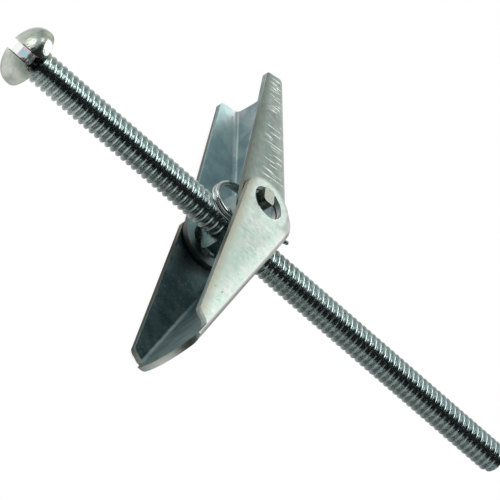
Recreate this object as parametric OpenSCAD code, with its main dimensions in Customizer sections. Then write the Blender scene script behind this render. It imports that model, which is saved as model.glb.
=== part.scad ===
// Spring toggle bolt: a slotted round-head machine screw carries a trunnion nut,
// and two folded sheet wings swing on the nut's lugs, pushed open by a wire spring.
// Origin: centre of the head's bearing face. +X runs along the screw to its tip,
// +Z along the trunnion axis, +Y towards the inner wing. Millimetres.

/* [Screw] */
// Length under the head
screw_len = 99.6; // [70:1:150]
// Major diameter of the thread
thread_d = 4.8; // [3.5:0.1:5]
// Turns of the thread to the inch
thread_tpi = 24; // [20:4:32]
// Chamfer at the screw's tip
tip_chamfer = 0.55; // [0.25:0.05:1.5]
// Diameter of the head
head_d = 9.1; // [8:0.1:9.4]
// Height of the head
head_h = 3.4; // [2.8:0.1:4.2]
// Height of the straight rim below the dome
head_rim_h = 0.5; // [0.2:0.1:0.6]
// Radius of the dome's shoulder
head_shoulder_r = 2.2; // [1.8:0.1:2.3]
// Width of the driver slot
slot_w = 1.6; // [1:0.1:2.2]
// Depth of the driver slot
slot_depth = 2.0; // [1:0.1:2.4]
// Turn of the driver slot about the screw
slot_turn = -33.5; // [-90:0.5:90]

/* [Nut] */
// Distance from the head's bearing face to the trunnion axis
pivot_x = 39.6; // [38:0.5:60]
// Thickness of the nut plate
nut_t = 1.9; // [1.5:0.1:2.2]
// Distance of the plate's head-side face from the trunnion axis
nut_front = 1.8; // [1.7:0.1:2.1]
// Width of the plate across the wings
nut_w = 8.4; // [7.8:0.1:8.6]
// How much narrower the plate is than the space between the inner wing's ears
nut_room = 3.4; // [3:0.1:3.6]
// Corner radius of the plate
nut_corner_r = 1.8; // [0.8:0.1:2.4]
// Radial clearance of the threaded hole round the screw
thread_clearance = 0.05; // [0.02:0.01:0.1]
// Wall of the extruded collar round the threaded hole
collar_wall = 0.75; // [0.5:0.05:0.9]
// Length of the collar behind the plate
collar_len = 2.0; // [0.5:0.1:2.2]
// Width of each lug
lug_w = 2.8; // [2.6:0.1:3.4]
// Corner radius of each lug
lug_corner_r = 0.5; // [0.2:0.05:0.8]
// How far the lug on the spring's side stands out of the outer wing
lug_proud = 1.0; // [0.1:0.1:1.2]
// How far the other lug's end lies below the outer wing's face
lug_sunk = 0.1; // [0.05:0.05:0.4]

/* [Wings] */
// Thickness of the sheet
sheet_t = 0.85; // [0.7:0.05:0.9]
// Width over the outer wing's ears
outer_w = 13.7; // [13.5:0.1:16]
// Gap between the ears of the two wings
side_gap = 0.25; // [0.2:0.05:0.4]
// Shift of both wings from the screw's axis towards the spring's side
wing_shift = 1.03; // [0.8:0.01:1.2]
// Radius of the ears
ear_r = 4.2; // [3.9:0.1:4.6]
// Diameter of the pivot holes
pivot_hole_d = 5.4; // [5.3:0.1:6]
// Distance from the trunnion axis to the outer wing's flange ends
outer_len = 32; // [20:0.2:34]
// Distance from the trunnion axis to the inner wing's flange ends
inner_len = 30.4; // [20:0.2:34]
// Depth of the outer wing's flange ends, from the web's outer face
outer_tip = 3.2; // [2.5:0.1:5]
// Depth of the inner wing's flange ends, from the web's outer face
inner_tip = 4.4; // [2.5:0.1:5]
// Radius of the flanges' tips
tip_r = 1; // [0.5:0.1:1.2]
// Distance from the trunnion axis to the web's outer face
web_dist = 5.8; // [5.6:0.1:6.6]
// Length of the outer wing's rounded tongue beyond its flanges
tongue_len = 4.5; // [1:0.1:4.6]
// How far the tongue's peak lies off the wing's middle, towards the spring's side
tongue_peak = 1.5; // [0:0.1:2]
// Depth of the hollow in the end of the inner wing's web
end_hollow = 0.8; // [0:0.1:1]
// Outer radius of the folds
fold_r = 1.6; // [1:0.1:1.8]
// Taper of the outer wing's flanges
outer_taper = 0.8; // [0:0.1:1]
// Taper of the inner wing's flanges
inner_taper = 1.3; // [0.8:0.1:1.6]
// Slant of the flanges' cut end
end_slant = 0.5; // [0:0.1:0.6]
// How far the web's cut-out reaches past the trunnion axis
cutout_reach = 3.4; // [3:0.1:5]
// Web left beside the cut-out in the inner wing
leg_w = 0.3; // [0.2:0.05:0.5]
// Lean of the outer wing from square to the screw, towards the head
outer_lean = 23.8; // [20:0.1:30]
// Lean of the inner wing from square to the screw, towards the head
inner_lean = 5.3; // [2:0.1:12]

/* [Spring] */
// Diameter of the wire
wire_d = 0.65; // [0.5:0.05:0.7]
// Outer diameter of the coil
coil_d = 7.9; // [7.6:0.1:8.2]
// Full turns of the coil before the arms
coil_turns = 1; // [1:1:2]
// Gap between the coil's turns
turn_gap = 0.03; // [0.02:0.01:0.1]
// Gap between the coil and the nut plate, and between the foot and the web
coil_gap = 0.1; // [0.05:0.05:0.3]
// How far the coil hangs towards the head from the trunnion axis
coil_back = 2.8; // [2.7:0.05:2.9]
// How far the coil hangs towards the outer wing
coil_drop = 0.4; // [0:0.05:0.5]
// Tilt of the coil, its head side towards the screw
coil_tilt = 8; // [0:1:10]
// How far the straight arm reaches past the trunnion axis
tail_reach = 7.4; // [6.5:0.1:8]
// Where the other arm meets the outer wing's web
arm_u = 9.5; // [7:0.5:18]
// Length of that arm's flat foot on the web
foot_len = 3; // [1:0.5:6]

/* [Hidden] */
$fn = 96;
eps = 0.01;
over = 1;                                   // how far a cutting tool passes a face

thread_r = thread_d / 2;
head_r = head_d / 2;
inch = 25.4;
pitch = inch / thread_tpi;
flank_angle = 30;                           // of a thread's flank from square to the screw
sharp_share = 0.72;                         // depth of the groove, as a share of a sharp thread's
thread_depth = sharp_share * pitch / 2 / tan(flank_angle);
collar_r = thread_r + thread_clearance + collar_wall;

// widths and faces of the wings across the trunnion axis
inner_w = outer_w - 2 * (sheet_t + side_gap);
nut_span = inner_w - 2 * sheet_t - nut_room;
cutout_r = inner_w / 2 - sheet_t - leg_w;
near_face = wing_shift + outer_w / 2;
far_face = wing_shift - outer_w / 2;
ear_slope = 45;                             // angle at which the ear runs into the web
ear_k = cos(ear_slope);

// the straight edges of a flange run just inside the circles of its ear and its tip
edge_inset = 0.02;
edge_r = ear_r - edge_inset;
edge_tip_r = tip_r - edge_inset;
outer_reach = outer_len + tongue_len;
end_steps = 12;                             // points on each half of a web's end
round_end = 0.5;                            // fullness of an elliptical side, and of a parabolic one
soft_end = 1;

// spring: coil's middle line, and the two points that its arms run to
wire_r = wire_d / 2;
coil_r = coil_d / 2 - wire_r;
turn_pitch = wire_d + turn_gap;
coil_c = [-coil_back, -coil_drop];
coil_low_z = max(nut_span / 2, collar_r) + coil_gap + wire_r;
tail_end = [tail_reach, 0];
foot_v = web_dist - sheet_t - wire_r - coil_gap / 2;
foot_start = outer_point(arm_u, foot_v);
foot_end = outer_point(arm_u + foot_len, foot_v);
tail_angle = tangent_angle(tail_end, -1);
foot_angle = tangent_angle(foot_start, 1) - 360 * (coil_turns + 1);
coil_sweep = tail_angle - foot_angle;
coil_high_z = coil_low_z + turn_pitch * coil_sweep / 360;
wire_sides = 10;
coil_step = 12;                             // degrees between rings of the coil

// a point of the outer wing, u along it and v across it, in the trunnion's XY plane
function outer_point(u, v) = [
    v * cos(outer_lean) - u * sin(outer_lean),
    -v * sin(outer_lean) - u * cos(outer_lean)
];

// rise of the tilted coil at x
function coil_lift(x) = (x - coil_c[0]) * tan(coil_tilt);

// angle on the coil where a straight arm to point p leaves it, on side s
function tangent_angle(p, s) =
    atan2(p[1] - coil_c[1], p[0] - coil_c[0]) + s * acos(coil_r / norm(p - coil_c));

function unit(v) = v / norm(v);

// middle line of the wire, from the straight arm's end to the foot's end
function wire_path() = let (
    steps = ceil(coil_sweep / coil_step),
    coil = [for (i = [0 : steps])
        let (a = tail_angle - coil_sweep * i / steps, x = coil_c[0] + coil_r * cos(a))
        [x, coil_c[1] + coil_r * sin(a),
         coil_high_z + (coil_low_z - coil_high_z) * i / steps + coil_lift(x)]]
) concat(
    [[tail_end[0], tail_end[1], coil_high_z]],
    coil,
    [[foot_start[0], foot_start[1], coil_low_z], [foot_end[0], foot_end[1], coil_low_z]]
);

// direction of the path at point i
function path_dir(p, i) = unit(
    i == 0 ? p[1] - p[0]
    : i == len(p) - 1 ? p[i] - p[i - 1]
    : unit(p[i + 1] - p[i]) + unit(p[i] - p[i - 1])
);

// round wire swept along path p
module wire(p) {
    n = wire_sides;
    rings = [for (i = [0 : len(p) - 1])
        let (t = path_dir(p, i), side = unit(cross([0, 0, 1], t)), up = cross(t, side))
        for (k = [0 : n - 1])
            p[i] + wire_r * (cos(360 * k / n) * side + sin(360 * k / n) * up)];
    walls = [for (i = [0 : len(p) - 2], k = [0 : n - 1])
        [i * n + k, (i + 1) * n + k, (i + 1) * n + (k + 1) % n, i * n + (k + 1) % n]];
    first = [[for (k = [0 : n - 1]) k]];
    last = [[for (k = [n - 1 : -1 : 0]) (len(p) - 1) * n + k]];
    polyhedron(points = rings, faces = concat(first, walls, last), convexity = 6);
}

// rectangle from [x0, y0] to [x1, y1], with its [x1, y1] corner rounded
module one_round_corner(x0, y0, x1, y1, r) {
    translate([x0, y0]) square([x1 - x0 - r, y1 - y0]);
    translate([x0, y0]) square([x1 - x0, y1 - y0 - r]);
    translate([x1 - r, y1 - r]) circle(r);
}

// rectangle centred on the origin with round corners
module round_rect(w, h, r) {
    square([w - 2 * r, h], center = true);
    square([w, h - 2 * r], center = true);
    for (x = [-1, 1], y = [-1, 1])
        translate([x * (w / 2 - r), y * (h / 2 - r)]) circle(r);
}

// half of the head's outline: straight rim, shoulder arc and crown arc
module head_outline() {
    rise = head_h - head_rim_h;
    c = head_r - head_shoulder_r;
    crown_r = (rise * rise + c * c - pow(head_shoulder_r, 2)) / (2 * (rise - head_shoulder_r));
    crown_y = head_h - crown_r;
    a = atan2(c, head_rim_h - crown_y);
    reach = crown_r / cos(a) + over;
    square([head_r, head_rim_h]);
    intersection() {
        translate([c, head_rim_h]) circle(head_shoulder_r);
        square([head_r, head_h]);
    }
    intersection() {
        translate([0, crown_y]) circle(crown_r);
        polygon([[0, crown_y], [reach * sin(a), crown_y + reach * cos(a)], [0, crown_y + reach]]);
        square([head_r, head_h + over]);
    }
}

// half of the shank's outline: one groove to each turn of the thread, then the tip's chamfer
module shank_outline() {
    end = screw_len - tip_chamfer;
    turns = floor(end / pitch);
    start = end - turns * pitch;
    grooves = [for (i = [0 : turns - 1]) each [
        [thread_r, start + i * pitch],
        [thread_r - thread_depth, start + (i + 0.5) * pitch]
    ]];
    polygon(concat(
        [[0, -eps], [thread_r, -eps]],
        grooves,
        [[thread_r, end], [thread_r - tip_chamfer, screw_len], [0, screw_len]]
    ));
}

// slotted round-head machine screw; its thread is a row of grooves of the same pitch
module screw() {
    color("lightgray") {
        difference() {
            rotate([0, -90, 0]) rotate_extrude() head_outline();
            rotate([slot_turn, 0, 0])
                translate([-head_h - over, -head_d, -slot_w / 2])
                    cube([slot_depth + over, 2 * head_d, slot_w]);
        }
        rotate([0, 90, 0]) rotate_extrude() shank_outline();
    }
}

// stamped nut plate with a threaded collar and two lugs along the trunnion axis
module trunnion_nut() {
    lug_top = near_face + lug_proud;
    lug_low = far_face + lug_sunk;
    color("silver") translate([pivot_x, 0, 0]) difference() {
        union() {
            translate([-nut_front, 0, 0]) rotate([90, 0, 90])
                linear_extrude(nut_t) round_rect(nut_w, nut_span, nut_corner_r);
            translate([-nut_front + nut_t / 2, 0, lug_low])
                linear_extrude(lug_top - lug_low) round_rect(nut_t, lug_w, lug_corner_r);
            translate([-nut_front + nut_t - eps, 0, 0]) rotate([0, 90, 0])
                cylinder(r = collar_r, h = collar_len + eps);
        }
        translate([-nut_front - over, 0, 0]) rotate([0, 90, 0])
            cylinder(r = thread_r + thread_clearance, h = nut_t + collar_len + 2 * over);
    }
}

// half of a wing's folded section, w wide over both flanges, extruded along the wing
module half_channel(w, taper) {
    reach = outer_reach + over;
    rotate([-taper, 0, 0]) translate([0, reach, 0]) rotate([90, 0, 0])
        linear_extrude(reach + 2 * ear_r) difference() {
            one_round_corner(-2 * ear_r, -over, web_dist, w / 2, fold_r);
            one_round_corner(-3 * ear_r, -2 * over, web_dist - sheet_t,
                             w / 2 - sheet_t, fold_r - sheet_t);
        }
}

// centre of the round tip of a flange that is len long and tip deep, as (v, u)
function tip_centre(len, tip) = [web_dist - tip + tip_r, len - end_slant - tip_r];

// flange outline between the round ear and tip: bearing edge, cut end and the web's strip.
// It is in (v, u): v from the trunnion axis to the web, u along the wing
module flange_outline(len, tip) {
    inner_face = web_dist - sheet_t;
    reach = outer_reach + over;
    c = tip_centre(len, tip);
    slope = atan2(c[0], c[1]) + asin((edge_r - edge_tip_r) / norm(c));
    square_to_edge = [-cos(slope), sin(slope)];
    polygon([
        edge_r * square_to_edge,
        c + edge_tip_r * square_to_edge,
        c + [0, edge_tip_r],
        [inner_face, len],
        [inner_face, reach],
        [web_dist + over, reach],
        [web_dist + over, web_dist + over - edge_r / ear_k],
        [ear_k * edge_r, -ear_k * edge_r]
    ]);
}

// web outline in (u, z): parallel sides, and an end that swells or hollows by swell.
// Its peak may lie off the middle; fullness rounds the side beyond the peak
module web_outline(w, len, swell, peak, fullness) {
    far = [for (i = [end_steps : -1 : 1])
        let (s = i / end_steps)
        [len + swell * (1 - s * s), peak - s * (w / 2 + peak)]];
    near = [for (i = [0 : end_steps])
        let (s = i / end_steps)
        [len + swell * pow(1 - s * s, fullness), peak + s * (w / 2 - peak)]];
    polygon(concat([[-2 * ear_r, -w], [len, -w]], far, near, [[len, w], [-2 * ear_r, w]]));
}

// opening in the web at the trunnion end, where the screw and the spring's arm pass
module web_cutout() {
    centre_u = cutout_reach - cutout_r;
    translate([centre_u, 0]) circle(cutout_r);
    translate([-3 * ear_r, -cutout_r]) square([3 * ear_r + centre_u, 2 * cutout_r]);
}

// folded wing w wide, pointing along +Y with its web on +X
module wing(w, taper, len, tip, swell, peak, fullness) {
    c = tip_centre(len, tip);
    difference() {
        intersection() {
            union() {
                half_channel(w, taper);
                mirror([0, 0, 1]) half_channel(w, taper);
            }
            union() {
                translate([0, 0, -w]) cylinder(r = ear_r, h = 2 * w);
                translate([c[0], c[1], -w]) cylinder(r = tip_r, h = 2 * w);
                translate([0, 0, -w]) linear_extrude(2 * w) flange_outline(len, tip);
            }
            rotate([90, 0, 90]) translate([0, 0, -2 * ear_r])
                linear_extrude(2 * ear_r + web_dist + over) web_outline(w, len, swell, peak, fullness);
        }
        translate([0, 0, -w]) cylinder(d = pivot_hole_d, h = 2 * w);
        rotate([90, 0, 90]) translate([0, 0, web_dist - fold_r - eps])
            linear_extrude(fold_r + over) web_cutout();
    }
}

// wider wing, on -Y, its web running on into a rounded tongue
module outer_wing() {
    color("gainsboro") translate([pivot_x, 0, wing_shift])
        mirror([0, 1, 0]) rotate(outer_lean)
            wing(outer_w, outer_taper, outer_len, outer_tip, tongue_len, tongue_peak, round_end);
}

// narrower wing, on +Y, its ears between the outer wing's and its web's end hollow
module inner_wing() {
    color("lightsteelblue") translate([pivot_x, 0, wing_shift])
        rotate(inner_lean)
            wing(inner_w, inner_taper, inner_len, inner_tip, -end_hollow, 0, soft_end);
}

// one wire: a straight arm out past the webs, the coil, and an arm with a flat foot
module torsion_spring() {
    color("slategray") translate([pivot_x, 0, 0]) wire(wire_path());
}

screw();
trunnion_nut();
outer_wing();
inner_wing();
torsion_spring();
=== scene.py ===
"""Spring toggle bolt: the looks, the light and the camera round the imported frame.

Lengths are written in millimetres, and MM scales them to the frame's metres."""
import math
from collections import namedtuple

import bmesh
import bpy
from mathutils import Matrix, Vector


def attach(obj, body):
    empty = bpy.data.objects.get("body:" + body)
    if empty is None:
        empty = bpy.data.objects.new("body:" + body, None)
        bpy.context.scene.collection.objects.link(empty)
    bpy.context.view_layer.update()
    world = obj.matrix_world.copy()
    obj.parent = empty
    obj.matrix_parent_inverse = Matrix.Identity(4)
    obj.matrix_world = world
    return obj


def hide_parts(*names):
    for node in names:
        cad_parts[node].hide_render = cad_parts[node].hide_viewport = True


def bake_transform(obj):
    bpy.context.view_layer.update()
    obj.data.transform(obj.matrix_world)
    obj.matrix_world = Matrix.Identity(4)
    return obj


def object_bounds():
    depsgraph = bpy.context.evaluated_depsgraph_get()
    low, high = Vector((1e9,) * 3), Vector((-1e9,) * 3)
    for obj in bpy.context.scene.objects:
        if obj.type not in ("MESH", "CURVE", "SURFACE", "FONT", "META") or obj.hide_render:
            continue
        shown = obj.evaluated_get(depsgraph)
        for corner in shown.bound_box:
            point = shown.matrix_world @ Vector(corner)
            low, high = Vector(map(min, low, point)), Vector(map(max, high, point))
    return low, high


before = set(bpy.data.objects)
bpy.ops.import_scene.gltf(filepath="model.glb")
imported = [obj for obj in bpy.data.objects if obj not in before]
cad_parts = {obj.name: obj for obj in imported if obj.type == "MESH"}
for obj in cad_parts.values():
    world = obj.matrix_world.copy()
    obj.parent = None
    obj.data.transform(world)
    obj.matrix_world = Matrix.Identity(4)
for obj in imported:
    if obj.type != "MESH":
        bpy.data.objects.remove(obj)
cad_low, cad_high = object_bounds()
MM = 0.001
TAU = 2 * math.pi

# the screw, with the sizes of the part's source
THREAD_R = 2.4
PITCH = 25.4 / 24
SCREW_LEN = 99.6
TIP_CHAMFER = 0.55
HEAD_R, HEAD_H, HEAD_RIM, SHOULDER_R = 4.55, 3.4, 0.5, 2.2
SLOT_W, SLOT_DEPTH, SLOT_TURN = 1.6, 2.0, math.radians(-33.5)

# the wings round their hinge, with the sizes of the part's source
PIVOT_X = 39.6
WING_SHIFT = 1.03
SHEET_T = 0.85
EAR_R = 4.2
HOLE_R = 2.7
WEB_DIST = 5.8
OUTER_LEAN, INNER_LEAN = math.radians(23.8), math.radians(5.3)
OUTER_HALF, INNER_HALF = 6.85, 5.75
# angle between a wing's length and the free edges of its flanges
OUTER_TAPER, INNER_TAPER = math.radians(12.74), math.radians(11.04)

# the spring, with the sizes of the part's source; the nut's edge is COIL_SEAT from the screw's axis
WIRE_R = 0.325
COIL_R = 7.9 / 2 - WIRE_R
COIL_CENTRE = Vector((-2.8, -0.4))
COIL_TILT = math.radians(8)
COIL_SEAT, COIL_GAP, TURN_GAP = 3.2, 0.1, 0.03
TAIL_REACH, ARM_U, FOOT_LEN = 7.4, 9.5, 3.0


# ---------------------------------------------------------------- node helpers
class Nodes:
    """A small builder for shader node trees."""

    def __init__(self, tree):
        self.tree = tree
        self.tree.nodes.clear()

    def add(self, kind, **settings):
        node = self.tree.nodes.new(kind)
        for key, value in settings.items():
            setattr(node, key, value)
        return node

    def link(self, source, target):
        self.tree.links.new(source, target)

    def feed(self, socket, value):
        if isinstance(value, bpy.types.NodeSocket):
            self.link(value, socket)
        else:
            socket.default_value = value

    def math(self, op, a, b=0.0, clamp=False):
        node = self.add("ShaderNodeMath", operation=op, use_clamp=clamp)
        self.feed(node.inputs[0], a)
        self.feed(node.inputs[1], b)
        return node.outputs[0]

    def plus(self, a, b, clamp=False):
        return self.math("ADD", a, b, clamp)

    def minus(self, a, b):
        return self.math("SUBTRACT", a, b)

    def times(self, a, b):
        return self.math("MULTIPLY", a, b)

    def larger(self, a, b):
        return self.math("MAXIMUM", a, b)

    def absolute(self, a):
        return self.math("ABSOLUTE", a)

    def vmath(self, op, a, b=(0, 0, 0), out=0):
        node = self.add("ShaderNodeVectorMath", operation=op)
        self.feed(node.inputs[0], a)
        self.feed(node.inputs[1], b)
        return node.outputs[out]

    def dot(self, a, b):
        return self.vmath("DOT_PRODUCT", a, b, out=1)

    def distance(self, a, b):
        return self.vmath("DISTANCE", a, b, out=1)

    def split(self, vector):
        node = self.add("ShaderNodeSeparateXYZ")
        self.link(vector, node.inputs[0])
        return node.outputs

    def ramp(self, value, low, high, to_low=0.0, to_high=1.0):
        """A smooth step from to_low where value is low to to_high where it is high."""
        node = self.add("ShaderNodeMapRange", interpolation_type="SMOOTHSTEP", clamp=True)
        for socket, number in zip(node.inputs[:5], (value, low, high, to_low, to_high)):
            self.feed(socket, number)
        return node.outputs[0]

    def mapping(self, vector, scale=(1, 1, 1), turn=(0, 0, 0)):
        node = self.add("ShaderNodeMapping")
        self.feed(node.inputs["Vector"], vector)
        node.inputs["Scale"].default_value = scale
        node.inputs["Rotation"].default_value = turn
        return node.outputs[0]

    def place(self):
        """Object space in millimetres."""
        metres = self.add("ShaderNodeTexCoord").outputs["Object"]
        return self.mapping(metres, scale=(1 / MM, 1 / MM, 1 / MM))

    def normal(self):
        return self.add("ShaderNodeTexCoord").outputs["Normal"]

    def noise(self, vector, scale, detail=2.0, rough=0.5):
        node = self.add("ShaderNodeTexNoise")
        self.feed(node.inputs["Vector"], vector)
        node.inputs["Scale"].default_value = scale
        node.inputs["Detail"].default_value = detail
        node.inputs["Roughness"].default_value = rough
        return node.outputs["Fac"]

    def openness(self, reach):
        """1 where nothing is nearer than reach, and towards 0 in a crevice."""
        node = self.add("ShaderNodeAmbientOcclusion", samples=8)
        node.inputs["Distance"].default_value = reach * MM
        return node.outputs["AO"]

    def seen(self, mirrored_share):
        """1 to the camera, mirrored_share in what metal and glass show, and 0 to other rays."""
        rays = self.add("ShaderNodeLightPath").outputs
        mirrored = self.plus(rays["Is Glossy Ray"], rays["Is Transmission Ray"])
        return self.plus(rays["Is Camera Ray"], self.times(mirrored, mirrored_share))

    def mix(self, factor, a, b):
        """Two colours mixed, through the node's colour sockets."""
        node = self.add("ShaderNodeMix", data_type="RGBA")
        self.feed(node.inputs[0], factor)
        self.feed(node.inputs[6], a)
        self.feed(node.inputs[7], b)
        return node.outputs[2]

    def mix_shaders(self, factor, a, b):
        node = self.add("ShaderNodeMixShader")
        self.link(factor, node.inputs[0])
        self.link(a.outputs[0], node.inputs[1])
        self.link(b.outputs[0], node.inputs[2])
        return node


def rgb(r, g, b):
    """An opaque colour."""
    return (r, g, b, 1.0)


# ---------------------------------------------------------------- camera
# fitted to the photograph's view: place, angles in degrees, and focal length for the sensor's width
CAMERA_PLACE = Vector((-160.546, -328.887, 217.834))
AZIMUTH, ELEVATION, ROLL = 58.04446, -29.35527, 57.81198
FOCAL_LENGTH, SENSOR_WIDTH = 224.2, 36.0


def make_camera():
    """The photograph's view, from beside and above the head, with the camera rolled."""
    data = bpy.data.cameras.new("camera")
    data.sensor_width = SENSOR_WIDTH
    data.lens = FOCAL_LENGTH
    data.clip_start, data.clip_end = 20 * MM, 20000 * MM
    cam = bpy.data.objects.new("camera", data)
    level = Matrix.Rotation(math.radians(AZIMUTH - 90), 4, "Z")
    aimed = level @ Matrix.Rotation(math.radians(ELEVATION + 90), 4, "X")
    rolled = aimed @ Matrix.Rotation(math.radians(ROLL), 4, "Z")
    cam.matrix_world = Matrix.Translation(CAMERA_PLACE * MM) @ rolled
    bpy.context.scene.collection.objects.link(cam)
    bpy.context.scene.camera = cam


# ---------------------------------------------------------------- light and floor
# soft boxes of the studio: (towards, inner and outer angle in degrees, strength, colour)
SOFT_BOXES = (
    ((0.86, 0.50, 0.07), 8, 34, 1.42, (0.97, 0.97, 1.00)),
    ((-0.50, 0.86, 0.07), 8, 34, 0.40, (0.80, 0.97, 0.92)),
    ((0.50, 0.72, 0.48), 8, 30, 0.20, (0.88, 1.00, 0.92)),
    ((-0.75, 0.45, 0.48), 6, 24, 0.45, (0.80, 0.95, 1.00)),
    ((0.27, 0.30, 0.90), 14, 30, 4.20, (0.90, 1.00, 0.97)),
    ((-0.85, 0.52, 0.08), 2, 14, 2.20, (1.00, 1.00, 1.00)),
    ((-0.42, 0.57, 0.71), 2, 14, 1.20, (0.97, 1.00, 0.96)),
    ((-0.10, 0.83, 0.55), 4, 18, 0.40, (1.00, 0.98, 0.88)),
    ((0.20, 0.95, 0.22), 5, 22, 0.50, (1.00, 0.99, 0.92)),
)
# share of the white room that the metal mirrors besides the boxes
ROOM_SHARE = 0.015

# half the floor's width, and how far it lies below the part
FLOOR_REACH, FLOOR_GAP = 1500, 0.3
# share of the floor that the metal mirrors everywhere, and how much more of it beyond the screw
FLOOR_SHARE, FAR_FLOOR_SHARE = 0.05, 0.46
# spots of the floor that the metal mirrors more: (x, y, inner and outer radius, share)
FLOOR_SPOTS = (
    (-2, -5, 7, 18, 0.36),
    (-6, -1, 2, 9, 0.60),
    (-7, 9, 3, 6, 1.00),
    (23, -46, 10, 18, 0.40),
)


def make_world():
    """A dark studio with soft boxes round and over the object; the camera sees white."""
    world = bpy.data.worlds.new("studio")
    bpy.context.scene.world = world
    world.use_nodes = True
    n = Nodes(world.node_tree)
    direction = n.add("ShaderNodeTexCoord").outputs["Generated"]
    light = (0.0, 0.0, 0.0)
    for toward, inner, outer, strength, colour in SOFT_BOXES:
        nearness = n.dot(direction, tuple(Vector(toward).normalized()))
        shine = n.add("ShaderNodeVectorMath", operation="SCALE")
        shine.inputs[0].default_value = Vector(colour) * strength
        edge = n.ramp(nearness, math.cos(math.radians(outer)), math.cos(math.radians(inner)))
        n.feed(shine.inputs["Scale"], edge)
        light = n.vmath("ADD", light, shine.outputs[0])
    boxes = n.add("ShaderNodeBackground")
    n.feed(boxes.inputs["Color"], light)
    white = n.add("ShaderNodeBackground")
    white.inputs["Color"].default_value = rgb(1, 1, 1)
    room = n.mix_shaders(n.seen(ROOM_SHARE), boxes, white)
    n.link(room.outputs[0], n.add("ShaderNodeOutputWorld").inputs[0])


def floor_share(n, place, height):
    """How much of the floor the metal mirrors: more beyond the screw and at the spots."""
    y = n.split(place)["Y"]
    fading = n.ramp(y, 14, 40, 1.0, 0.75)
    share = n.times(n.ramp(y, -4, 8, 0.0, FAR_FLOOR_SHARE), fading)
    for spot_x, spot_y, near, far, amount in FLOOR_SPOTS:
        away = n.distance(place, (spot_x, spot_y, height))
        share = n.larger(share, n.ramp(away, near, far, amount, 0.0))
    return n.plus(FLOOR_SHARE, share, clamp=True)


def floor_clear(n, place, height):
    """1 on the open floor and 0 in the contact shadow, which is widest below the hinge."""
    openness = n.openness(5)
    narrow = n.ramp(openness, 0.02, 0.2)
    wide = n.ramp(openness, 0.25, 0.5)
    off_hinge = n.ramp(n.distance(place, (PIVOT_X, 0, height)), 2.8, 4.2)
    return n.larger(wide, n.times(narrow, off_hinge))


def make_floor():
    """A sheet of paper that the camera sees white and that the metal mirrors in part."""
    height = cad_low.z / MM - FLOOR_GAP
    corners = [(x * FLOOR_REACH * MM, y * FLOOR_REACH * MM, height * MM)
               for x, y in ((-1, -1), (1, -1), (1, 1), (-1, 1))]
    mesh = bpy.data.meshes.new("floor")
    mesh.from_pydata(corners, [], [(0, 1, 2, 3)])
    floor = bpy.data.objects.new("floor", mesh)
    bpy.context.scene.collection.objects.link(floor)
    mat = bpy.data.materials.new("floor_white")
    mat.use_nodes = True
    n = Nodes(mat.node_tree)
    place = n.place()
    paper = n.add("ShaderNodeBsdfDiffuse")
    paper.inputs["Color"].default_value = rgb(0.40, 0.42, 0.41)
    glow = n.add("ShaderNodeEmission")
    glow.inputs["Color"].default_value = rgb(1, 1, 1)
    glowing = n.times(n.seen(floor_share(n, place, height)), floor_clear(n, place, height))
    sheet = n.mix_shaders(glowing, paper, glow)
    n.link(sheet.outputs[0], n.add("ShaderNodeOutputMaterial").inputs[0])
    mesh.materials.append(mat)


# ---------------------------------------------------------------- materials
# depth of one unit of a metal's fine height
BUMP_DEPTH = 0.04


def metal_tree(name):
    """A new material, its node builder and object space in millimetres."""
    mat = bpy.data.materials.new(name)
    mat.use_nodes = True
    n = Nodes(mat.node_tree)
    return mat, n, n.place()


def finish_metal(n, colour, roughness, height, strength=0.12):
    """Close a metal's tree with its colour, roughness and height, in units of BUMP_DEPTH."""
    bump = n.add("ShaderNodeBump")
    bump.inputs["Strength"].default_value = strength
    bump.inputs["Distance"].default_value = BUMP_DEPTH * MM
    n.link(height, bump.inputs["Height"])
    shader = n.add("ShaderNodeBsdfPrincipled")
    shader.inputs["Metallic"].default_value = 1.0
    n.link(colour, shader.inputs["Base Color"])
    n.link(roughness, shader.inputs["Roughness"])
    n.link(bump.outputs[0], shader.inputs["Normal"])
    n.link(shader.outputs[0], n.add("ShaderNodeOutputMaterial").inputs[0])


def zinc(name, pale, deep, rough, lug_end=None):
    """Bright zinc plate with a cloudy tint and fine grain.

    With lug_end, what reaches out of the wings is painted near black, as shade in their holes,
    but for its end faces in that tint."""
    mat, n, where = metal_tree(name)
    cloud = n.noise(where, 0.5, 3.0, 0.55)
    grain = n.noise(where, 5.0, 3.0, 0.6)
    colour = n.mix(n.ramp(cloud, 0.35, 0.65), deep, pale)
    if lug_end:
        from_middle = n.absolute(n.minus(n.dot(where, (0, 0, 1)), WING_SHIFT))
        end_face = n.ramp(n.absolute(n.dot(n.normal(), (0, 0, 1))), 0.4, 0.7)
        # painted shade: the lug's sides inside the holes are near black
        shaded_lug = n.mix(end_face, rgb(0.10, 0.12, 0.10), lug_end)
        colour = n.mix(n.ramp(from_middle, 6.0, 6.3), colour, shaded_lug)
    colour = n.mix(n.times(n.ramp(grain, 0.45, 0.7), 0.12), colour, rgb(0.85, 0.86, 0.83))
    finish_metal(n, colour, n.plus(rough - 0.05, n.times(grain, 0.12)), n.times(grain, 0.25))
    return mat


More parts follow.
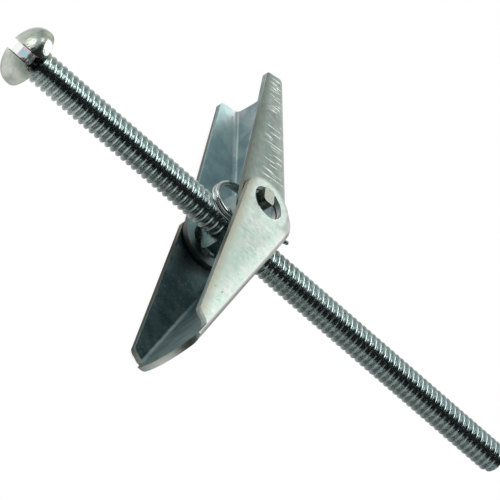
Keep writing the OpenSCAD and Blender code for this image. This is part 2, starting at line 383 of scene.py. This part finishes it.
def screw_zinc(name, rough):
    """The thread: bright crests, and dark grooves whose colour is painted shade and dull plating."""
    mat, n, where = metal_tree(name)
    grain = n.noise(where, 6.0, 3.0, 0.6)
    cloud = n.noise(where, 0.3, 2.0, 0.5)
    radius = n.vmath("LENGTH", n.vmath("MULTIPLY", where, (0, 1, 1)), out=1)
    # painted shade: the grooves below the crests are darkened, and made rougher
    shaded_groove = n.ramp(n.plus(radius, n.times(grain, 0.15)), THREAD_R - 0.24, THREAD_R, 1.0, 0.0)
    crest = n.mix(n.ramp(cloud, 0.35, 0.65), rgb(0.75, 0.83, 0.81), rgb(0.84, 0.89, 0.87))
    groove_shade = n.mix(n.ramp(grain, 0.4, 0.62), rgb(0.26, 0.32, 0.32), rgb(0.68, 0.75, 0.75))
    roughness = n.plus(rough, n.times(shaded_groove, 0.10))
    finish_metal(n, n.mix(shaded_groove, crest, groove_shade), roughness, n.times(grain, 0.3))
    return mat


def slot_shade(n, along, beside):
    """Where the slot has painted shade: at one end and along one wall. Both places are from its middle.
    """
    near_wall = n.ramp(n.plus(n.times(along, 0.3), beside), -0.80, -0.70, 1.0, 0.0)
    near_end = n.ramp(along, -2.0, -1.3, 1.0, 0.0)
    in_slot = n.ramp(n.absolute(beside), SLOT_W / 2 + 0.10, SLOT_W / 2 + 0.16, 1.0, 0.0)
    return n.times(n.larger(near_wall, near_end), in_slot)


def slot_stain(n, along, beside):
    """Colour of the slot's floor: greenish in the middle, reddish at the walls, bare at one end."""
    stain = n.mix(n.ramp(n.absolute(beside), 0.25, 0.45), rgb(0.28, 0.56, 0.56), rgb(0.60, 0.45, 0.54))
    return n.mix(n.ramp(along, 1.4, 1.9), stain, rgb(0.97, 0.96, 0.97))


def head_zinc(name, rough):
    """The head: satin crown, bright rim, and a slot with a stained floor and some painted shade."""
    mat, n, where = metal_tree(name)
    grain = n.noise(where, 4.0, 3.0, 0.6)
    cloud = n.noise(where, 0.7, 3.0, 0.55)
    patch = n.noise(where, 2.2, 3.0, 0.6)
    turned = n.split(n.mapping(where, turn=(-SLOT_TURN, 0, 0)))
    x, along, beside = (turned[axis] for axis in "XYZ")
    floor_x = SLOT_DEPTH - HEAD_H
    floor = n.times(n.ramp(n.absolute(beside), SLOT_W / 2 - 0.12, SLOT_W / 2 - 0.04, 1.0, 0.0),
                    n.ramp(x, floor_x - 0.12, floor_x - 0.02, 0.2, 1.0))
    in_slot_shade = slot_shade(n, along, beside)
    # painted shade in the slot: patchy and near black, and rougher
    shade_tone = n.mix(n.ramp(patch, 0.48, 0.66), rgb(0.02, 0.025, 0.025), rgb(0.42, 0.44, 0.42))
    metal = n.mix(n.ramp(cloud, 0.35, 0.65), rgb(0.66, 0.71, 0.63), rgb(0.84, 0.86, 0.78))
    # the slot floor's stain, with the slot's painted shade over it
    shade_mix = n.mix(in_slot_shade, slot_stain(n, along, beside), shade_tone)
    colour = n.mix(n.larger(floor, in_slot_shade), metal, shade_mix)
    crown = n.ramp(x, -2.9, -1.6, 1.0, 0.0)
    roughness = n.plus(n.plus(rough, n.times(crown, 0.07)), n.times(grain, 0.10))
    roughness = n.plus(roughness, n.times(in_slot_shade, 0.2), clamp=True)
    finish_metal(n, colour, roughness, n.plus(n.times(grain, 0.4), n.times(patch, 1.8)), 0.60)
    return mat


# What a wing's material needs: its lean, its side of the screw, half its width and the taper of its
# flanges; the colour of the painted shade along their free edges and on the cut edge, and its share;
# the strength of its bright scratches; how light its outside, the inside of its flanges and the inside
# of its web are, the lower tones of the insides being painted shade; and its stains
WingLook = namedtuple(
    "WingLook", "lean side half taper edge_tint edge_share scratches outside inside web stains")

# stains on the outer wing's near face: (u, v, angle in degrees, half length, half width, colour)
OUTER_STAINS = (
    (9.65, -0.1, -13, 1.0, 0.10, rgb(0.25, 0.27, 0.24)),
    (9.1, 0.5, -13, 0.8, 0.08, rgb(0.30, 0.32, 0.28)),
    (24.9, 2.3, 11.46, 0.35, 0.25, rgb(0.45, 0.36, 0.20)),
    (24.4, 3.6, 51.57, 0.35, 0.22, rgb(0.34, 0.26, 0.15)),
)
WING_LOOKS = {
    "outer_wing": WingLook(
        OUTER_LEAN, -1, OUTER_HALF, OUTER_TAPER, edge_tint=rgb(0.42, 0.39, 0.32), edge_share=0.9,
        scratches=0.15, outside=0.96, inside=0.30, web=0.90, stains=OUTER_STAINS),
    "inner_wing": WingLook(
        INNER_LEAN, 1, INNER_HALF, INNER_TAPER, edge_tint=rgb(0.26, 0.28, 0.24), edge_share=0.7,
        scratches=0.85, outside=0.56, inside=1.00, web=0.70, stains=()),
}
# width of the painted shade along a flange's free edge, and the middle of a wing's length
EDGE_SHADE, MIDDLE_U = 2.0, 15.0


class Sheet:
    """Places and textures of a wing: u along it from the hinge, v towards its web and z across."""

    def __init__(self, n, where, look):
        self.n = n
        self.u_axis = (-math.sin(look.lean), look.side * math.cos(look.lean), 0)
        self.v_axis = (math.cos(look.lean), look.side * math.sin(look.lean), 0)
        self.place = n.vmath("SUBTRACT", where, (PIVOT_X, 0, WING_SHIFT))
        self.u = n.dot(self.place, self.u_axis)
        self.v = n.dot(self.place, self.v_axis)
        self.z = n.dot(self.place, (0, 0, 1))
        self.from_hinge = n.math("SQRT", n.plus(n.times(self.u, self.u), n.times(self.v, self.v)))
        # how far a face looks outwards across the wing, and towards the web
        self.face_z = n.times(n.dot(n.normal(), (0, 0, 1)), n.math("SIGN", self.z))
        self.face_v = n.dot(n.normal(), self.v_axis)
        self.mottle = n.noise(where, 1.3, 4.0, 0.65)
        self.tint = n.noise(where, 0.35, 2.0, 0.5)
        self.grain = n.noise(where, 6.0, 3.0, 0.6)
        self.specks = n.ramp(n.noise(where, 3.2, 2.0, 0.5), 0.66, 0.74)
        self.flecks = n.ramp(n.noise(where, 3.2, 3.0, 0.75), 0.54, 0.68)

    def stretched(self, away, angle, long, wide):
        """Places along and beside a line at this angle to the screw, over long and over wide."""
        s, c = math.sin(math.radians(angle)), math.cos(math.radians(angle))
        along = self.n.dot(away, (c / long, s / long, 0))
        beside = self.n.dot(away, (-s / wide, c / wide, 0))
        return along, beside

    def scratches(self, angle, long, wide, low, high):
        """Scratches of about this length and width, at this angle in degrees to the screw."""
        n = self.n
        along, beside = self.stretched(self.place, angle, long, wide)
        join = n.add("ShaderNodeCombineXYZ")
        for socket, value in zip(join.inputs, (along, beside, n.times(self.z, 0.3))):
            n.link(value, socket)
        return n.ramp(n.noise(join.outputs[0], 1.0, 1.0, 0.4), low, high)


def bright_scratches(n, sheet, strength):
    """Short bright scratches, mostly on the flanges between their free edge and the fold."""
    marks = n.times(sheet.scratches(8.5, 3.2, 0.27, 0.59, 0.65), strength)
    off_edge = n.ramp(n.minus(sheet.v, n.times(sheet.u, 0.1)), -1.2, 0.8)
    off_fold = n.ramp(sheet.v, 4.0, 5.0, 1.0, 0.15)
    on_flange = n.ramp(sheet.face_z, 0.5, 0.9, 0.12, 1.0)
    return n.times(n.times(marks, off_edge), n.times(off_fold, on_flange))


def plated_and_shaded_outside(n, sheet, look):
    """Mottled zinc outside: painted light at fold and ends, painted shade at free edge, ear and fold
    line.
    """
    # painted light: paler towards the fold and towards the ends of the wing
    fold_light = n.times(n.ramp(sheet.v, 2.2, 4.8), 0.7)
    ends_light = n.times(n.ramp(n.absolute(n.minus(sheet.u, MIDDLE_U)), 3.0, 15.0), 0.55)
    mottle = n.times(n.minus(sheet.mottle, 0.5), 1.2)
    warm = n.ramp(sheet.tint, 0.35, 0.65)
    pale = n.mix(warm, rgb(0.82, 0.90, 0.83), rgb(0.90, 0.90, 0.87))
    deep = n.mix(warm, rgb(0.50, 0.58, 0.53), rgb(0.57, 0.59, 0.56))
    # deep and pale are the shaded and the lit zinc, mixed by the painted light and the mottle
    colour = n.mix(n.plus(n.larger(fold_light, ends_light), mottle, clamp=True), deep, pale)
    # painted shade along the flange's free edge
    from_edge = n.plus(n.times(sheet.u, -math.sin(look.taper)), n.times(sheet.v, math.cos(look.taper)))
    free_edge_shade = n.ramp(from_edge, -EAR_R, EDGE_SHADE - EAR_R, look.edge_share, 0.0)
    colour = n.mix(free_edge_shade, colour, look.edge_tint)
    # painted shade on the ear's rim near the hinge
    ear_edge_shade = n.times(n.ramp(sheet.from_hinge, EAR_R - 0.7, EAR_R), n.ramp(sheet.u, 0.5, 2.0, 0.6, 0.0))
    colour = n.mix(ear_edge_shade, colour, rgb(0.36, 0.34, 0.32))
    # painted shade: a dark line along the fold
    fold_shade_line = n.times(n.ramp(sheet.face_v, 0.46, 0.62), n.ramp(sheet.face_v, 0.75, 0.95, 0.55, 0.0))
    colour = n.mix(fold_shade_line, colour, rgb(0.24, 0.19, 0.18))
    return n.mix(look.outside, rgb(0.02, 0.03, 0.03), colour)


def worn_outside(n, sheet, look, bright, dark):
    """The plated outside with painted light and shade, bright and dark scratches, specks and ragged
    stains.
    """
    colour = n.mix(bright, plated_and_shaded_outside(n, sheet, look), rgb(0.98, 0.99, 0.96))
    colour = n.mix(n.times(n.larger(dark, sheet.specks), 0.45), colour, rgb(0.30, 0.29, 0.26))
    near_face = n.ramp(sheet.z, 5.0, 6.0)
    for u, v, angle, long, wide, tint in look.stains:
        centre = tuple(u * a + v * b for a, b in zip(sheet.u_axis, sheet.v_axis))
        along, beside = sheet.stretched(n.vmath("SUBTRACT", sheet.place, centre), angle, long, wide)
        out = n.plus(n.plus(n.times(along, along), n.times(beside, beside)), n.times(sheet.grain, 0.6))
        colour = n.mix(n.times(n.ramp(out, 0.5, 1.2, 0.8, 0.0), near_face), colour, tint)
    return colour


def shaded_inside(n, sheet, look, web):
    """Blue zinc of the inside, with painted shade in a tone for flanges and web, dark specks and pale
    flecks.
    """
    cloud = n.plus(n.times(sheet.tint, 0.7), n.times(sheet.mottle, 0.3))
    colour = n.mix(n.ramp(cloud, 0.36, 0.62), rgb(0.56, 0.70, 0.74), rgb(0.72, 0.84, 0.84))
    colour = n.mix(n.times(sheet.specks, 0.4), colour, rgb(0.20, 0.24, 0.27))
    colour = n.mix(n.times(n.ramp(sheet.tint, 0.55, 0.7), 0.5), colour, rgb(0.80, 0.66, 0.72))
    # painted shade of the channel's inside, darkest where the look's tone is low
    inside_shade = n.plus(n.ramp(sheet.tint, 0.35, 0.65, look.inside - 0.08, look.inside + 0.08),
                  n.times(web, look.web - look.inside))
    colour = n.mix(inside_shade, rgb(0.0, 0.07, 0.09), colour)
    return n.mix(n.times(sheet.flecks, 0.55), colour, rgb(0.80, 0.97, 1.0))


def tint_edges(n, sheet, look, colour):
    """The colour with painted shade on the sheet's cut edge, painted shade in crevices and a bare pivot
    hole.
    """
    inner = look.half - SHEET_T
    edge_face = n.times(n.ramp(n.absolute(sheet.face_z), 0.5, 0.9, 1.0, 0.0),
                        n.ramp(sheet.face_v, 0.2, 0.6, 1.0, 0.0))
    near_flange = n.times(n.ramp(sheet.z, inner - 0.1, inner + 0.1), n.ramp(sheet.from_hinge, 3.0, 3.5))
    # painted shade on the near flange's cut edge, paler towards the wing's end
    tint = n.mix(n.ramp(sheet.u, 16.0, 30.0), look.edge_tint, rgb(0.86, 0.90, 0.86))
    colour = n.mix(n.times(n.times(edge_face, near_flange), 0.8), colour, tint)
    in_hole = n.ramp(sheet.from_hinge, HOLE_R + 0.04, HOLE_R + 0.10, 1.0, 0.0)
    # painted shade: darker in crevices, where other parts are near
    shade_mix = n.times(n.ramp(n.openness(1.2), 0.35, 0.95, 0.75, 0.0), n.minus(1.0, in_hole))
    colour = n.mix(shade_mix, colour, rgb(0.02, 0.03, 0.03))
    return n.mix(in_hole, colour, rgb(0.95, 0.98, 0.97))


def wing_zinc(name, look):
    """Zinc sheet of a wing: mottled and scratched outside with painted light and shade, blue inside with
    painted shade.
    """
    mat, n, where = metal_tree(name)
    sheet = Sheet(n, where, look)
    inner = look.half - SHEET_T
    between = n.ramp(n.absolute(sheet.z), inner - 0.15, inner, 1.0, 0.0)
    web = n.times(n.ramp(sheet.face_v, -0.7, -0.3, 1.0, 0.0), between)
    inside = n.larger(n.ramp(sheet.face_z, -0.7, -0.3, 1.0, 0.0), web)
    bright = bright_scratches(n, sheet, look.scratches)
    dark = sheet.scratches(40, 1.2, 0.16, 0.70, 0.76)
    outside = worn_outside(n, sheet, look, bright, dark)
    colour = tint_edges(n, sheet, look, n.mix(inside, outside, shaded_inside(n, sheet, look, web)))
    roughness = n.plus(n.plus(0.34, n.times(sheet.grain, 0.12)),
                       n.times(n.minus(sheet.mottle, 0.5), 0.25))
    height = n.plus(n.times(sheet.grain, 0.3), n.times(sheet.mottle, 1.2))
    finish_metal(n, colour, roughness, n.minus(height, n.larger(bright, dark)), 0.25)
    return mat


def dress(obj, mat):
    """Give every face of obj this material."""
    obj.data.materials.clear()
    obj.data.materials.append(mat)


def round_edges(obj, width, angle):
    """Round the edges of obj that turn by more than this angle, in degrees."""
    edge = obj.modifiers.new("edges", "BEVEL")
    edge.width = width * MM
    edge.segments = 3
    edge.limit_method = "ANGLE"
    edge.angle_limit = math.radians(angle)
    edge.harden_normals = True


def soften(obj, width):
    """Round the sharp edges of a sheet or plate as its tumbling and plating do."""
    flat = obj.modifiers.new("dissolve", "DECIMATE")
    flat.decimate_type = "DISSOLVE"
    flat.angle_limit = math.radians(0.5)
    round_edges(obj, width, 35)


# ---------------------------------------------------------------- pieces
def new_object(name, bm, smooth=True):
    """A new object in the scene, with the faces of bm turned outwards."""
    mesh = bpy.data.meshes.new(name)
    bmesh.ops.recalc_face_normals(bm, faces=bm.faces)
    bm.to_mesh(mesh)
    bm.free()
    for face in mesh.polygons:
        face.use_smooth = smooth
    obj = bpy.data.objects.new(name, mesh)
    bpy.context.scene.collection.objects.link(obj)
    return obj


# ---------------------------------------------------------------- the screw
# points over one turn of the thread: (share of a pitch, depth below the crest)
THREAD_PROFILE = ((0.00, 0.02), (0.02, 0.0), (0.07, 0.0), (0.09, 0.02), (0.36, 0.50), (0.43, 0.60),
                  (0.545, 0.64), (0.66, 0.60), (0.73, 0.50))
# where the thread starts inside the head, and the spare length that is cut off there
THREAD_START, THREAD_SPARE = -0.5, 0.3
# steps round the thread and the head, and along each arc of the head's outline
THREAD_STEPS, HEAD_STEPS, ARC_STEPS = 56, 96, 14


def thread_lines(bm):
    """Helical rows of vertices round the screw, one for each turn and each point of the profile."""
    start = THREAD_START - THREAD_SPARE
    lines = []
    for turn in range(int((SCREW_LEN - start) / PITCH) + 3):
        for share, depth in THREAD_PROFILE:
            line = []
            for i in range(THREAD_STEPS):
                x = start + (turn - 1 + share + i / THREAD_STEPS) * PITCH
                chamfer = max(0.0, x - (SCREW_LEN - TIP_CHAMFER))
                r = THREAD_R - max(depth, chamfer)
                a = TAU * i / THREAD_STEPS
                line.append(bm.verts.new((x * MM, r * math.cos(a) * MM, r * math.sin(a) * MM)))
            lines.append(line)
    return lines


def cut_square(bm, x, keep_low):
    """Cut the thread square to its axis at x, drop one side and close the end."""
    cut = bmesh.ops.bisect_plane(
        bm, geom=bm.verts[:] + bm.edges[:] + bm.faces[:], dist=1e-9,
        plane_co=(x * MM, 0, 0), plane_no=(1, 0, 0), clear_outer=keep_low, clear_inner=not keep_low)
    rim = [e for e in cut["geom_cut"] if isinstance(e, bmesh.types.BMEdge)]
    bmesh.ops.holes_fill(bm, edges=rim)


def make_thread():
    """The rolled thread from inside the head to the chamfered tip, cut square at both ends."""
    bm = bmesh.new()
    lines = thread_lines(bm)
    count = len(THREAD_PROFILE)
    for k, (line, beside) in enumerate(zip(lines, lines[1:])):
        for i in range(THREAD_STEPS - 1):
            bm.faces.new((line[i], line[i + 1], beside[i + 1], beside[i]))
        # the last step joins the lines that are one turn further on
        if k + 1 + count < len(lines):
            bm.faces.new((line[-1], lines[k + count][0], lines[k + 1 + count][0], beside[-1]))
    cut_square(bm, THREAD_START, keep_low=False)
    cut_square(bm, SCREW_LEN, keep_low=True)
    return new_object("screw_thread", bm)


def head_profile():
    """Half outline of the head, from its bearing face to the crown: (height, radius)."""
    rise = HEAD_H - HEAD_RIM
    c = HEAD_R - SHOULDER_R
    crown_r = (rise * rise + c * c - SHOULDER_R ** 2) / (2 * (rise - SHOULDER_R))
    crown_y = HEAD_H - crown_r
    meet = math.atan2(c, HEAD_RIM - crown_y)
    # the bearing face with its rounded edge, and the straight rim
    points = [(0.0, 0.0), (0.0, HEAD_R - 0.18), (0.05, HEAD_R - 0.05), (0.18, HEAD_R), (HEAD_RIM, HEAD_R)]
    for i in range(1, ARC_STEPS + 1):
        a = (math.pi / 2 - meet) * i / ARC_STEPS
        points.append((HEAD_RIM + SHOULDER_R * math.sin(a), c + SHOULDER_R * math.cos(a)))
    for i in range(1, ARC_STEPS + 1):
        a = meet * (1 - i / ARC_STEPS)
        points.append((crown_y + crown_r * math.cos(a), crown_r * math.sin(a)))
    return points


def revolved_head():
    """The head without its slot, revolved from its outline, which starts and ends on the axis."""
    bm = bmesh.new()
    rings = []
    for height, radius in head_profile():
        angles = [TAU * i / HEAD_STEPS for i in range(HEAD_STEPS)] if radius > 1e-6 else [0.0]
        rings.append([bm.verts.new((-height * MM, radius * math.cos(a) * MM, radius * math.sin(a) * MM))
                      for a in angles])
    for a, b in zip(rings, rings[1:]):
        for i in range(HEAD_STEPS):
            j = (i + 1) % HEAD_STEPS
            if len(a) == 1:
                bm.faces.new((a[0], b[i], b[j]))
            elif len(b) == 1:
                bm.faces.new((a[i], a[j], b[0]))
            else:
                bm.faces.new((a[i], a[j], b[j], b[i]))
    return new_object("screw_head", bm)


def slot_cutter():
    """A block as wide as the slot, from the slot's floor to beyond the crown."""
    beyond = 2.0
    depth = SLOT_DEPTH + beyond
    bm = bmesh.new()
    bmesh.ops.create_cube(bm, size=1.0)
    for v in bm.verts:
        v.co = Vector((v.co.x * depth, v.co.y * 3 * HEAD_R, v.co.z * SLOT_W)) * MM
        v.co.x -= (HEAD_H + beyond - depth / 2) * MM
    cutter = new_object("slot_cutter", bm, smooth=False)
    cutter.matrix_world = Matrix.Rotation(SLOT_TURN, 4, "X")
    return cutter


def make_head():
    """The revolved head with its slot cut and its edges rounded."""
    head = revolved_head()
    cutter = slot_cutter()
    cut = head.modifiers.new("slot", "BOOLEAN")
    cut.operation = "DIFFERENCE"
    cut.solver = "EXACT"
    cut.object = cutter
    round_edges(head, 0.09, 40)
    bpy.context.view_layer.objects.active = head
    bpy.context.view_layer.update()
    baked = bpy.data.meshes.new_from_object(head.evaluated_get(bpy.context.evaluated_depsgraph_get()))
    head.modifiers.clear()
    head.data = baked
    bpy.data.objects.remove(cutter)
    return head


# ---------------------------------------------------------------- the spring
# rounding of the wire's cut ends: (distance from the end, share of the wire's radius)
END_ROUNDING = ((0.0, 0.80), (0.05, 0.96), (0.12, 1.0))
# sides of the wire, and steps along its tail, its coil, its other arm, that arm's bend and its foot
WIRE_SIDES = 16
TAIL_STEPS, COIL_STEPS, ARM_STEPS, BEND_STEPS, FOOT_STEPS = 8, 150, 16, 8, 5


def sweep(name, path, radius):
    """A round wire along path, with slightly rounded cut ends."""
    bm = bmesh.new()
    rings = []

    def add_ring(centre, tangent, r):
        side = Vector((0, 0, 1)).cross(tangent).normalized()
        top = tangent.cross(side)
        angles = [TAU * k / WIRE_SIDES for k in range(WIRE_SIDES)]
        rings.append([bm.verts.new((centre + r * (math.cos(a) * side + math.sin(a) * top)) * MM)
                      for a in angles])

    steps = [(b - a).normalized() for a, b in zip(path, path[1:])]
    for distance, share in END_ROUNDING:
        add_ring(path[0] + steps[0] * distance, steps[0], radius * share)
    for point, before, after in zip(path[1:], steps, steps[1:]):
        add_ring(point, (before + after).normalized(), radius)
    for distance, share in reversed(END_ROUNDING):
        add_ring(path[-1] - steps[-1] * distance, steps[-1], radius * share)
    for a, b in zip(rings, rings[1:]):
        for k in range(WIRE_SIDES):
            m = (k + 1) % WIRE_SIDES
            bm.faces.new((a[k], a[m], b[m], b[k]))
    bm.faces.new(rings[0])
    bm.faces.new(rings[-1])
    return new_object(name, bm)


def outer_point(u, v, z):
    """The point of the outer wing that is u along it and v towards its web, from the hinge."""
    s, c = math.sin(OUTER_LEAN), math.cos(OUTER_LEAN)
    return Vector((v * c - u * s, -v * s - u * c, z))


def coil_point(angle, z):
    """The point of the tilted coil at this angle, where z is its height before the tilt."""
    x, y = COIL_R * math.cos(angle), COIL_R * math.sin(angle)
    return Vector((COIL_CENTRE.x + x, COIL_CENTRE.y + y, z + x * math.tan(COIL_TILT)))


def leaving_angle(point, side):
    """The angle on the coil where a straight arm to this point leaves it, on this side."""
    away = point.to_2d() - COIL_CENTRE
    return math.atan2(away.y, away.x) + side * math.acos(COIL_R / away.length)


def spring_path():
    """Middle line of the spring's wire, and where its bent arm starts and ends."""
    low_z = COIL_SEAT + COIL_GAP + WIRE_R
    foot_v = WEB_DIST - SHEET_T - WIRE_R - COIL_GAP / 2
    foot, foot_end = outer_point(ARM_U, foot_v, low_z), outer_point(ARM_U + FOOT_LEN, foot_v, low_z)
    tail = Vector((TAIL_REACH, 0.0, 0.0))
    first = leaving_angle(tail, -1)
    last = leaving_angle(foot, 1) - 2 * TAU
    high_z = low_z + (2 * WIRE_R + TURN_GAP) * (first - last) / TAU
    tail.z = high_z
    points = [tail.lerp(coil_point(first, high_z), i / TAIL_STEPS) for i in range(TAIL_STEPS)]
    for i in range(COIL_STEPS + 1):
        t = i / COIL_STEPS
        points.append(coil_point(first + (last - first) * t, high_z + (low_z - high_z) * t))
    leave = points[-1]
    points += [leave.lerp(foot, i / ARM_STEPS) for i in range(1, ARM_STEPS - 1)]
    before, after = points[-1], foot.lerp(foot_end, 0.12)
    for i in range(1, BEND_STEPS):
        t = i / BEND_STEPS
        points.append(before * (1 - t) ** 2 + foot * 2 * t * (1 - t) + after * t * t)
    points += [after.lerp(foot_end, i / FOOT_STEPS) for i in range(FOOT_STEPS + 1)]
    shift = Vector((PIVOT_X, 0, 0))
    return [p + shift for p in points], leave + shift, foot + shift


# ---------------------------------------------------------------- the scene
make_camera()
make_world()
make_floor()

for node, wing_look in WING_LOOKS.items():
    soften(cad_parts[node], 0.25)
    dress(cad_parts[node], wing_zinc("zinc_" + node, wing_look))
soften(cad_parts["trunnion_nut"], 0.15)
dress(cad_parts["trunnion_nut"],
      zinc("zinc_nut", rgb(0.34, 0.44, 0.43), rgb(0.24, 0.34, 0.33), 0.26, rgb(0.96, 0.94, 0.85)))

for piece, metal in ((make_head(), head_zinc("zinc_head", 0.14)),
                     (make_thread(), screw_zinc("zinc_thread", 0.12))):
    dress(piece, metal)
    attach(piece, "screw")
    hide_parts("screw")

path, arm_start, arm_end = spring_path()
spring = sweep("spring_wire", path, WIRE_R)
dress(spring, zinc("spring_wire", rgb(0.84, 0.86, 0.86), rgb(0.72, 0.75, 0.76), 0.12))
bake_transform(spring)
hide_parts("torsion_spring")

bpy.context.scene.view_settings.view_transform = "Standard"
